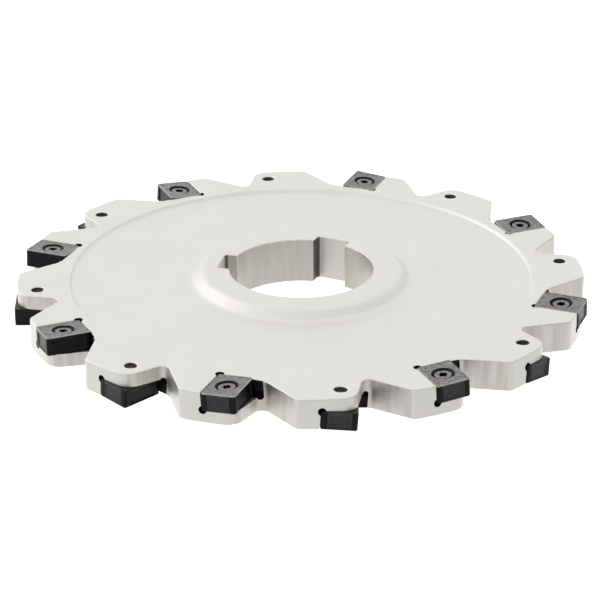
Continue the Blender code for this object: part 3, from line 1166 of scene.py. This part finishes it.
def make_floor(finishes):
    """A pale floor, far enough below for the lower inserts to come out."""
    shape = bmesh.new()
    bmesh.ops.create_grid(shape, x_segments=1, y_segments=1, size=6)
    floor = new_object("floor", finished(shape, "floor"))
    floor.location.z = -0.6
    floor.data.materials.append(floor_material(finishes))


def make_world(scene):
    """Soft studio light from all round, brighter above and behind than in front."""
    world = bpy.data.worlds.new("studio")
    world.use_nodes = True
    scene.world = world
    tree = world.node_tree
    tree.nodes.clear()
    place = add_node(tree, "ShaderNodeTexCoord")
    toward = add_node(
        tree,
        "ShaderNodeVectorMath",
        {0: place.outputs["Generated"], 1: Vector((-0.3, 0.45, 0.84))},
        operation="DOT_PRODUCT",
    )
    strength = add_node(
        tree,
        "ShaderNodeMapRange",
        {
            "Value": toward.outputs["Value"],
            "From Min": -0.5,
            "From Max": 0.45,
            "To Min": 0.22,
            "To Max": 0.97,
        },
    )
    background = add_node(
        tree, "ShaderNodeBackground", {"Color": (1, 1, 1, 1), "Strength": strength.outputs["Result"]}
    )
    output = add_node(tree, "ShaderNodeOutputWorld")
    tree.links.new(background.outputs["Background"], output.inputs["Surface"])


def make_light(name, place, target, width, depth, power):
    """A soft panel light that shines one way only."""
    light = bpy.data.lights.new(name, "AREA")
    light.shape = "RECTANGLE"
    light.size = width
    light.size_y = depth
    light.energy = power
    made = new_object(name, light)
    made.location = place
    made.rotation_euler = (Vector(target) - Vector(place)).to_track_quat("-Z", "Y").to_euler()


def make_camera(scene):
    """The camera looks down on the cutter from in front, from about a metre away."""
    elevation = math.radians(23.6144)
    distance = 972.2 * MM
    centre = Vector((0, 0, MID_HEIGHT + scene.cutter_body.rim_thickness / 2))
    camera = bpy.data.cameras.new("camera")
    camera.sensor_width = 36
    camera.lens = 167.69
    camera.clip_start = 0.05
    made = new_object("camera", camera)
    away = Vector((0, -math.cos(elevation), math.sin(elevation)))
    look = (-away).to_track_quat("-Z", "Y").to_matrix().to_4x4()
    nod = Matrix.Rotation(math.radians(-0.5172), 4, "X")
    roll = Matrix.Rotation(math.radians(0.0278), 4, "Y")
    made.matrix_world = Matrix.Translation(centre + away * distance) @ look @ nod @ roll
    scene.camera = made


class CUTTER_OT_stage(bpy.types.Operator):
    """Set up the pale floor, the soft studio light and the camera"""

    bl_idname = "cutter.stage"
    bl_label = "Studio Stage"

    def execute(self, context):
        scene = context.scene
        make_floor(scene.cutter_finishes)
        make_world(scene)
        # below the cutter, so that it lights only the floor behind
        make_light("floor_light", (0, 1.5, -0.25), (0, 1.5, -1), 3, 1.6, 14)
        make_light("panel_at_left", (-1.3, 0.5, 0.7), (0, 0, 0), 1.8, 1.4, 3.5)
        make_camera(scene)
        scene.view_settings.view_transform = "Standard"
        return {"FINISHED"}


class CUTTER_PT_panel(bpy.types.Panel):
    """Buttons for the cutter's pieces and stage"""

    bl_label = "Milling Cutter"
    bl_idname = "CUTTER_PT_panel"
    bl_space_type = "VIEW_3D"
    bl_region_type = "UI"
    bl_category = "Cutter"

    def draw(self, context):
        for operator in OPERATORS:
            self.layout.operator(operator.bl_idname)
        for group in GROUPS:
            settings = getattr(context.scene, group)
            for name in settings.bl_rna.properties.keys():
                if name not in ("rna_type", "name"):
                    self.layout.prop(settings, name)


OPERATORS = (CUTTER_OT_body, CUTTER_OT_inserts, CUTTER_OT_screws, CUTTER_OT_stage)
GROUPS = {
    "cutter_body": BodySizes,
    "cutter_seats": SeatSizes,
    "cutter_inserts": InsertSizes,
    "cutter_screws": ScrewSizes,
    "cutter_finishes": Finishes,
}


def register():
    for group, settings in GROUPS.items():
        bpy.utils.register_class(settings)
        setattr(bpy.types.Scene, group, bpy.props.PointerProperty(type=settings))
    for cls in (*OPERATORS, CUTTER_PT_panel):
        bpy.utils.register_class(cls)


def unregister():
    for cls in reversed((*OPERATORS, CUTTER_PT_panel)):
        bpy.utils.unregister_class(cls)
    for group, settings in reversed(GROUPS.items()):
        delattr(bpy.types.Scene, group)
        bpy.utils.unregister_class(settings)


def main():
    register()
    bpy.ops.cutter.body()
    bpy.ops.cutter.inserts()
    bpy.ops.cutter.screws()
    bpy.ops.cutter.stage()
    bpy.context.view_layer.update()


if __name__ == "__main__":
    main()
